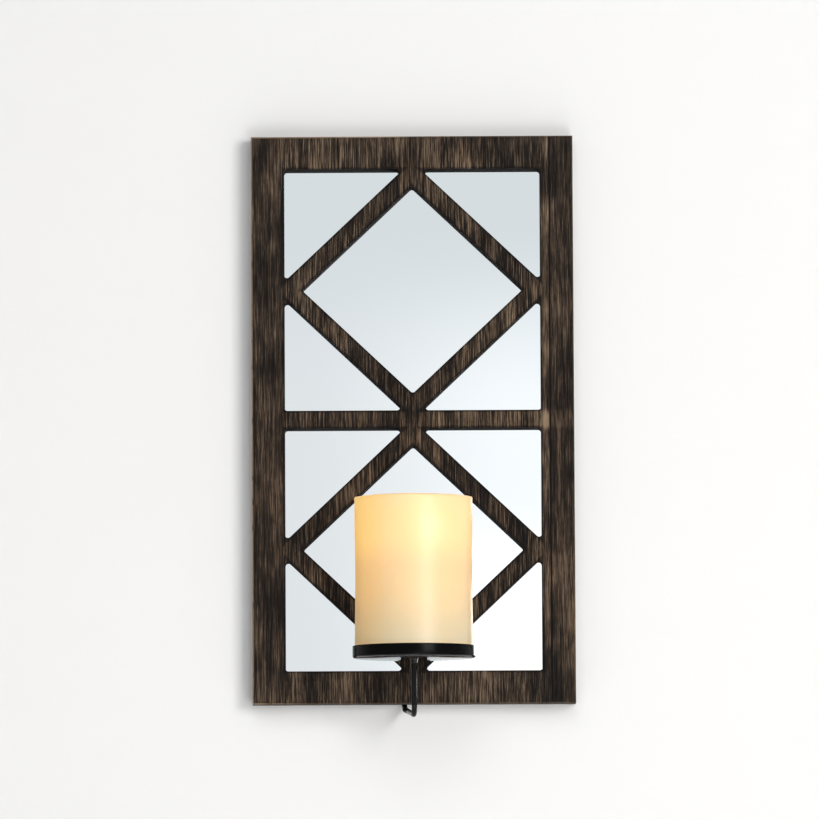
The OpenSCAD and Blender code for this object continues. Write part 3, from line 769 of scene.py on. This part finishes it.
# A closed profile of (radius, height) pairs turned about an upright axis. An edge on the axis is left out
def turned(profile, spot, steps):
    form = bmesh.new()
    points = [form.verts.new((radius, 0, height)) for radius, height in profile]
    rails = [form.edges.new(pair) for pair in zip(points, points[1:] + points[:1])
             if pair[0].co.x + pair[1].co.x > 0]
    bmesh.ops.spin(form, geom=points + rails, axis=(0, 0, 1), cent=(0, 0, 0), angle=math.tau,
                   steps=steps, use_merge=True)
    bmesh.ops.remove_doubles(form, verts=form.verts, dist=1e-6)
    bmesh.ops.recalc_face_normals(form, faces=form.faces)
    bmesh.ops.translate(form, verts=form.verts, vec=spot)
    return form


# Edges of a turned form that run round it at one radius and height
def ringAt(form, spot, radius, height):
    def on(vert):
        flat = math.hypot(vert.co.x - spot.x, vert.co.y - spot.y)
        return abs(flat - radius) < 1e-5 and abs(vert.co.z - spot.z - height) < 1e-5
    return [edge for edge in form.edges if on(edge.verts[0]) and on(edge.verts[1])]


panelFacts = {"arris": 0.0006, "arrisSteps": 3, "near": 1e-5}


def latticePanel():
    facts = panelFacts
    form = cleanCopy("lattice_panel")
    near = facts["near"]

    def atFront(vert):
        return vert.co.y < panelLow.y + near

    def atOutside(vert):
        inDepth = atFront(vert) or vert.co.y > panelHigh.y - near
        inPlan = (abs(abs(vert.co.x) - panelHigh.x) < near or vert.co.z > panelHigh.z - near
                  or vert.co.z < panelLow.z + near)
        return inDepth and inPlan

    def easeHere(edge):
        return all(map(atFront, edge.verts)) or all(map(atOutside, edge.verts))

    roundOver(form, sharpEdges(form, 50, easeHere), facts["arris"], facts["arrisSteps"])
    piece = finishPiece(form, "lattice_panel_routed", "sconce", "timber", ["lattice_panel"])
    piece.modifiers.new("evenShading", "WEIGHTED_NORMAL").keep_sharp = True


latticePanel()

# Each: CAD node, body, finish, width of the eased edges and steps across them
backFacts = {
    "mirror_pane": ("mirror_glass", "sconce", "mirror", 0.0004, 2),
    "backing_sheet": ("backing_board", "sconce", "hardboard", 0.0003, 2),
    "glazing_points_cut": ("glazing_points", "sconce", "zinc", 0.00008, 1),
    "keyhole_plates_pressed": ("keyhole_plates", "sconce", "zinc", 0.0002, 2),
    "keyhole_screws_turned": ("keyhole_screws", "sconce", "zinc", 0.00008, 1),
}
for name, facts in backFacts.items():
    easedPiece(name, *facts)
print("panel and backing made")


# Felt pads: cut discs with a soft edge and a slightly fuzzy face
padFacts = {"edge": 0.00035, "fuzz": 0.00006, "fuzzPitch": 1500, "sides": 40, "rings": 4, "ringShare": 0.17}


def wallPads():
    facts = padFacts
    low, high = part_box("wall_pads")
    middle = (low.z + high.z) / 2
    topRight = [vert.co.x for vert in frame["nodes"]["wall_pads"].data.vertices
                if vert.co.x > 0 and vert.co.z > middle]
    radius = (max(topRight) - min(topRight)) / 2
    lyingDown = Matrix.Rotation(math.pi / 2, 4, "X")
    form = bmesh.new()
    for x in (low.x + radius, high.x - radius):
        for z in (low.z + radius, high.z - radius):
            place = Matrix.Translation((x, (low.y + high.y) / 2, z)) @ lyingDown
            bmesh.ops.create_cone(form, cap_ends=True, segments=facts["sides"], radius1=radius,
                                  radius2=radius, depth=high.y - low.y, matrix=place)
    roundOver(form, sharpEdges(form, 50), facts["edge"], 3)
    caps = [face for face in form.faces if len(face.verts) > 8]
    for ring in range(facts["rings"]):
        bmesh.ops.inset_individual(form, faces=caps, thickness=radius * facts["ringShare"])
    bmesh.ops.triangulate(form, faces=caps)
    form.normal_update()
    for vert in form.verts:
        vert.co -= vert.normal * (1 + noise.noise(vert.co * facts["fuzzPitch"])) * facts["fuzz"]
    finishPiece(form, "felt_pads", "sconce", "felt", ["wall_pads"], 60)


wallPads()
print("felt pads made")


collarFacts = {"edge": 0.00035, "bead": 0.0011, "lumps": 0.00012, "lumpCount": 9}


# Adds a weld bead to a form: a lumpy level ring where two pieces of steel meet
def weldBead(form, spot, ringRadius, beadRadius, facts):
    bead = bmesh.new()
    place = Matrix.Translation((ringRadius, 0, 0)) @ Matrix.Rotation(math.pi / 2, 4, "X")
    bmesh.ops.create_circle(bead, cap_ends=False, radius=beadRadius, segments=10, matrix=place)
    bmesh.ops.spin(bead, geom=bead.verts[:] + bead.edges[:], axis=(0, 0, 1), cent=(0, 0, 0),
                   angle=math.tau, steps=40, use_merge=True)
    bmesh.ops.remove_doubles(bead, verts=bead.verts, dist=1e-6)
    bmesh.ops.recalc_face_normals(bead, faces=bead.faces)
    for vert in bead.verts:
        turn = math.atan2(vert.co.y, vert.co.x)
        vert.co += vert.normal * facts["lumps"] * math.sin(turn * facts["lumpCount"])
    bmesh.ops.translate(bead, verts=bead.verts, vec=spot)
    mesh = bpy.data.meshes.new("bead")
    bead.to_mesh(mesh)
    bead.free()
    form.from_mesh(mesh)
    bpy.data.meshes.remove(mesh)


def armRod():
    form = bmesh.new()
    form.from_mesh(frame["nodes"]["arm_rod"].data)
    bmesh.ops.remove_doubles(form, verts=form.verts, dist=1e-6)
    finishPiece(form, "arm_rod_bent", "sconce", "black_steel", ["arm_rod"], 50)


def rodCollar():
    facts = collarFacts
    low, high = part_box("rod_collar")
    radius = (high.x - low.x) / 2
    form = cleanCopy("rod_collar")
    roundOver(form, sharpEdges(form, 50), facts["edge"], 3)
    beadRadius = min(facts["bead"], high.z - low.z) / 2
    weldBead(form, Vector((candleX, candleY, high.z - 0.0004)), radius - 0.0002, beadRadius, facts)
    finishPiece(form, "rod_collar_welded", "sconce", "black_steel", ["rod_collar"], 50)


dishFacts = {
    "wall": 0.001, "floor": 0.0012, "hole": 0.00165,
    "lowerEdge": 0.0016, "innerEdge": 0.0008, "rim": 0.00045, "steps": 192,
}


def candleDish():
    facts = dishFacts
    radius = (dishHigh.x - dishLow.x) / 2
    height = dishHigh.z - dishLow.z
    spot = Vector((candleX, candleY, dishLow.z))
    inner = radius - facts["wall"]
    profile = [(facts["hole"], 0), (radius * 0.5, 0), (radius, 0), (radius, height * 0.5), (radius, height),
               (inner, height), (inner, height * 0.5), (inner, facts["floor"]),
               (radius * 0.5, facts["floor"]), (facts["hole"], facts["floor"])]
    form = turned(profile, spot, facts["steps"])
    roundOver(form, ringAt(form, spot, radius, 0), facts["lowerEdge"], 6)
    roundOver(form, ringAt(form, spot, inner, facts["floor"]), facts["innerEdge"], 4)
    roundOver(form, ringAt(form, spot, radius, height) + ringAt(form, spot, inner, height), facts["rim"], 4)
    finishPiece(form, "candle_dish_spun", "sconce", "black_steel", ["candle_dish"], 50)


armRod()
rodCollar()
candleDish()

strapFacts = {
    "arm_strap_eased": ("arm_strap", "sconce", "black_steel", 0.0004, 3),
    "strap_screws_turned": ("strap_screws", "sconce", "zinc", 0.0001, 1),
    "dish_screw_turned": ("dish_screw", "sconce", "zinc", 0.00012, 2),
}
for name, facts in strapFacts.items():
    easedPiece(name, *facts)
print("arm and dish made")


sleeveFacts = {
    "footRadius": 0.0392, "waistRadius": 0.0386, "topRadius": 0.0389,
    "height": 0.1055, "footHeight": 0.006, "footEdge": 0.0012,
    "cavity": 0.0334, "footBore": 0.0349, "boreHeight": 0.006,
    "recessFloor": 0.0705, "floorThick": 0.004, "leadHole": 0.0032,
    "seat": 0.0085, "levels": 44, "steps": 168,
    "rimStart": 0.0016, "lipTall": 0.0030, "poolTall": 0.0030,
    # From the outer face or the cavity's: how far out, and how far below the top
    "rimShape": ((True, -0.0003, 0.0007), (True, -0.0009, 0.0002), (True, -0.0020, 0.0),
                 (True, -0.0034, 0.0003), (False, 0.0008, 0.0012), (False, 0.0001, 0.0030)),
    # In from the cavity's wall, and up from the recess's floor
    "poolShape": ((0.0010, 0.0012), (0.0032, 0.0003), (0.0070, 0.0)),
    "ripple": 0.00016, "lip": 0.00055, "nub": 0.0008, "lipDepth": 0.0035,
    "rippleFrom": 0.012, "rippleFull": 0.032,          # heights where the ripple starts and is full
    "nubsAt": (-math.pi + 0.10, -0.12, math.pi + 0.10), "nubWidth": 0.10,
}


# Radius of the outside wall at a height above the foot: flared foot, waist, slightly wider top
def wallRadius(height, facts):
    half = facts["height"] / 2
    if height < facts["footHeight"]:
        return facts["footRadius"]
    if height < half:
        share = (height - facts["footHeight"]) / (half - facts["footHeight"])
        narrower = facts["waistRadius"] - facts["footRadius"]
        return facts["footRadius"] + narrower * math.sin(share * math.pi / 2)
    share = (height - half) / half
    return facts["waistRadius"] + (facts["topRadius"] - facts["waistRadius"]) * share


def waxSleeve():
    facts = sleeveFacts
    top = facts["height"]
    under = facts["recessFloor"] - facts["floorThick"]
    wallTop = top - facts["rimStart"]
    wallStep = (wallTop - facts["footEdge"]) / facts["levels"]
    wallHeights = [facts["footEdge"] + wallStep * (level + 1) for level in range(facts["levels"])]
    outside = [(facts["footRadius"] - facts["footEdge"], 0), (facts["footRadius"], facts["footEdge"])]
    outside += [(wallRadius(height, facts), height) for height in wallHeights]
    rim = [((facts["topRadius"] if fromOuter else facts["cavity"]) + across, top - down)
           for fromOuter, across, down in facts["rimShape"]]
    lipFoot = top - facts["lipTall"]
    drop = lipFoot - facts["recessFloor"] - facts["poolTall"]
    inside = [(facts["cavity"], lipFoot - drop * (level + 1) / 12) for level in range(12)]
    pool = [(facts["cavity"] - across, facts["recessFloor"] + up) for across, up in facts["poolShape"]]
    pool += [(facts["seat"], facts["recessFloor"]), (facts["leadHole"], facts["recessFloor"])]
    below = [(facts["leadHole"], under), (facts["cavity"] * 0.5, under), (facts["cavity"], under),
             (facts["cavity"], under * 0.5), (facts["cavity"], facts["boreHeight"]),
             (facts["footBore"], facts["boreHeight"]), (facts["footBore"], 0)]
    spot = Vector((candleX, candleY, waxLow.z))
    form = turned(outside + rim + inside + pool + below, spot, facts["steps"])

    # Hand-poured unevenness, which dies away at the foot so that the foot still sits in the dish
    for vert in form.verts:
        height = vert.co.z - spot.z
        flat = Vector((vert.co.x - spot.x, vert.co.y - spot.y, 0))
        radius = flat.length
        if radius < facts["cavity"] + 0.0002 or height < facts["rippleFrom"]:
            continue
        away = flat / radius
        turn = math.atan2(flat.y, flat.x)
        fade = min(1, (height - facts["rippleFrom"]) / (facts["rippleFull"] - facts["rippleFrom"]))
        slow = noise.noise(Vector((away.x * 1.6, away.y * 1.6, height * 28)))
        vert.co += away * facts["ripple"] * slow * fade
        nearRim = max(0, 1 - (top - height) / facts["lipDepth"])
        if nearRim > 0:
            lump = noise.noise(Vector((away.x * 5, away.y * 5, 3.7)))
            lump += 0.5 * noise.noise(Vector((away.x * 13, away.y * 13, 9.1)))
            vert.co.z += (lump * 0.5 - 0.35) * facts["lip"] * nearRim
            beads = sum(math.exp(-((turn - at) / facts["nubWidth"]) ** 2) for at in facts["nubsAt"])
            vert.co += away * facts["nub"] * 0.55 * beads * nearRim
            outer = max(0, (radius - 0.0365) / 0.0024)
            vert.co.z += facts["nub"] * 0.5 * beads * nearRim * min(1, outer)
    finishPiece(form, "wax_sleeve_poured", "candle", "wax", ["wax_sleeve"], 60)


lensFacts = {
    "flange": 0.007, "flangeThick": 0.001, "foot": 0.0045, "belly": 0.0061, "bellyAt": 0.42,
    "taper": 1.25, "wall": 0.001, "tipThick": 0.0022, "steps": 64, "levels": 26,
}


# Outside radius of the flame shape at a share of its height
def flameRadius(share, facts):
    if share < facts["bellyAt"]:
        swell = math.sin(share / facts["bellyAt"] * math.pi / 2)
        return facts["foot"] + (facts["belly"] - facts["foot"]) * swell
    taper = (share - facts["bellyAt"]) / (1 - facts["bellyAt"])
    return facts["belly"] * max(0, math.cos(taper * math.pi / 2)) ** facts["taper"]


def flameLens():
    facts = lensFacts
    low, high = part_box("flame_lens")
    tall = high.z - low.z
    start = facts["flangeThick"]
    innerTall = tall - facts["tipThick"]
    shares = [i / facts["levels"] for i in range(facts["levels"] + 1)]
    outer = [(flameRadius(share, facts), start + (tall - start) * share) for share in shares]
    inner = [(max(flameRadius(share, facts) - facts["wall"], 0), innerTall * share) for share in shares]
    flange = [(facts["foot"] - facts["wall"], 0), (facts["flange"], 0), (facts["flange"], start)]
    profile = flange + outer[:-1] + [(0, tall), (0, innerTall)] + inner[-2:0:-1]
    form = turned(profile, (candleX, candleY, low.z), facts["steps"])
    finishPiece(form, "flame_lens_moulded", "candle", "lens", ["flame_lens"], 60)


waxSleeve()
flameLens()

innerFacts = {
    "base_housing_moulded": ("base_housing", "candle", "ivory_plastic", 0.0002, 2),
    "switch_case": ("switch_body", "candle", "switch_case", 0.00015, 2),
    "switch_knob_moulded": ("switch_slider", "switch_knob", "knob", 0.0002, 2),
    "battery_cover_moulded": ("battery_cover", "cover", "ivory_plastic", 0.00025, 2),
    "bridge_contact_pressed": ("bridge_contact", "cover", "spring_steel", 0.0001, 1),
    "contact_tabs_pressed": ("contact_tabs", "candle", "spring_steel", 0.0001, 1),
    "battery_cells_wrapped": ("battery_cells", "candle", "cell", 0.0004, 3),
    "circuit_board_populated": ("circuit_board", "candle", "circuit", 0.0001, 1),
    "board_screws_turned": ("board_screws", "candle", "zinc", 0.0002, 2),
}
for name, facts in innerFacts.items():
    easedPiece(name, *facts)
print("candle made")


# The mirror stays clear: what stands in front of it is left out of reflections
keptOut = ("candle_dish", "dish_screw", "rod_collar", "arm_rod")
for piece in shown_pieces():
    if body_of(piece) != ["sconce"] or piece.name.startswith(keptOut):
        piece.visible_glossy = False


# CAD nodes that keep their own mesh, with a better finish
keptNodes = {
    "led_bulb": "led", "top_spring": "spring_steel", "cover_spring": "spring_steel", "lead_wires": "wire",
}
for name, finish in keptNodes.items():
    for materialSlot in frame["nodes"][name].material_slots:
        materialSlot.material = finishes[finish]
print("kept nodes finished")


stageFacts = {
    "reach": 6.0, "floorDrop": 1.20, "clearWithin": 0.02, "floorGlow": 0.42,
    "wall": (0.84, 0.84, 0.84), "floor": (0.86, 0.86, 0.85), "grain": (0.80, 0.80, 0.80),
}


# A plain matt finish that shows from its front only, so that it hides nothing from behind. The wall
# is also clear to rays that have come a short way, which lets light in at the panel's back, and the
# floor is as pale to look at as if the lamps reached it
def oneSided(name, colour, grain, clearWithin, glow):
    tree = newFinish(name)
    fromBehind = tree.node("ShaderNodeNewGeometry", out="Backfacing")
    travelled = tree.node("ShaderNodeLightPath", out="Ray Length")
    unseen = tree.maths("MAXIMUM", fromBehind, tree.maths("LESS_THAN", travelled, clearWithin))
    cloudy = tree.mix(tree.noise(tree.place(), 60, 3.0) * 0.04, colour, grain)
    matt = tree.node("ShaderNodeBsdfDiffuse", None, {"Color": cloudy})
    bounced = tree.node("ShaderNodeLightPath", out="Is Diffuse Ray")
    lit = tree.node("ShaderNodeEmission", None, {"Color": colour, "Strength": (1 - bounced) * glow})
    shown = tree.node("ShaderNodeAddShader", None, {0: matt, 1: lit})
    clear = tree.node("ShaderNodeBsdfTransparent")
    both = tree.node("ShaderNodeMixShader", None, {0: unseen, 1: shown, 2: clear})
    tree.node("ShaderNodeOutputMaterial", None, {"Surface": both})
    return tree.owner


def makeStage(facts):
    wallFinish = oneSided("stageWall", facts["wall"], facts["grain"], facts["clearWithin"], 0.0)
    floorFinish = oneSided("stageFloor", facts["floor"], facts["grain"], 0.0, facts["floorGlow"])
    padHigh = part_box("wall_pads")[1].y
    reach = facts["reach"]
    upright = Matrix.Translation((0, padHigh, 0)) @ Matrix.Rotation(math.pi / 2, 4, "X")
    level = Matrix.Translation((0, 0, cadBounds[0].z - facts["floorDrop"]))
    for name, place, finish in (("stage_wall", upright, wallFinish), ("stage_floor", level, floorFinish)):
        form = bmesh.new()
        bmesh.ops.create_grid(form, x_segments=2, y_segments=2, size=reach, matrix=place)
        mesh = bpy.data.meshes.new(name)
        form.to_mesh(mesh)
        form.free()
        mesh.materials.append(finish)
        made = bpy.data.objects.new(name, mesh)
        scene.collection.objects.link(made)


lightFacts = {
    "key": {"spot": (1.25, -2.55, 0.15), "size": 0.95, "power": 39, "colour": (1.0, 0.985, 0.965)},
    "front": {"spot": (-0.20, -3.0, 1.45), "size": 1.4, "power": 21, "colour": (0.985, 0.99, 1.0)},
    "low": {"spot": (0.45, -2.3, -1.05), "size": 0.8, "power": 13, "colour": (1.0, 1.0, 1.0)},
    "rear": {"spot": (-1.0, 2.2, 1.2), "size": 2.4, "power": 70, "colour": (1.0, 1.0, 1.0)},
}


def makeLights(facts):
    aim = Vector((0, 0, (panelLow.z + panelHigh.z) / 2))
    for name, light in facts.items():
        lamp = bpy.data.objects.new(name, bpy.data.lights.new(name, "AREA"))
        lamp.data.shape = "SQUARE"
        lamp.data.size = light["size"]
        lamp.data.energy = light["power"]
        lamp.data.color = light["colour"]
        lamp.location = light["spot"]
        lamp.rotation_mode = "QUATERNION"
        lamp.rotation_quaternion = (aim - lamp.location).to_track_quat("-Z", "Y")
        scene.collection.objects.link(lamp)


# A studio all round: cool grey above, brighter low down and to the right. It lights the
# object less than it is seen, because the lamps do most of that
studioFacts = {
    "cool": (0.700, 0.748, 0.770),
    "left": (0.775, 0.805, 0.830),
    "right": (0.985, 1.025, 1.050),
    "lowRight": (1.15, 1.16, 1.17),
    "plain": (0.86, 0.865, 0.87),
    "ambient": 0.25,
}


def makeStudio(facts):
    world = bpy.data.worlds.new("studio")
    scene.world = world
    tree = NodeTree(world)
    across, deep, up = tree.axes(tree.node("ShaderNodeTexCoord", out="Generated"))
    rightness = tree.step(across, -0.018, 0.018)
    lower = tree.mix(rightness, facts["left"], facts["right"])
    lowest = (1 - tree.step(up, 0.058, 0.070)) * tree.step(across, -0.001, 0.006)
    lower = tree.mix(lowest, lower, facts["lowRight"])
    sky = tree.mix(1 - tree.step(up, 0.080, 0.108), facts["cool"], lower)
    reflected = tree.node("ShaderNodeLightPath", out="Is Glossy Ray")
    sky = tree.mix(reflected, facts["plain"], sky)
    diffuse = tree.node("ShaderNodeLightPath", out="Is Diffuse Ray")
    strength = 1 - diffuse * (1 - facts["ambient"])
    glow = tree.node("ShaderNodeBackground", None, {"Color": sky, "Strength": strength})
    tree.node("ShaderNodeOutputWorld", None, {"Surface": glow})


makeStage(stageFacts)
makeLights(lightFacts)
makeStudio(studioFacts)
scene.view_settings.view_transform = "Standard"
print("stage and lights made")
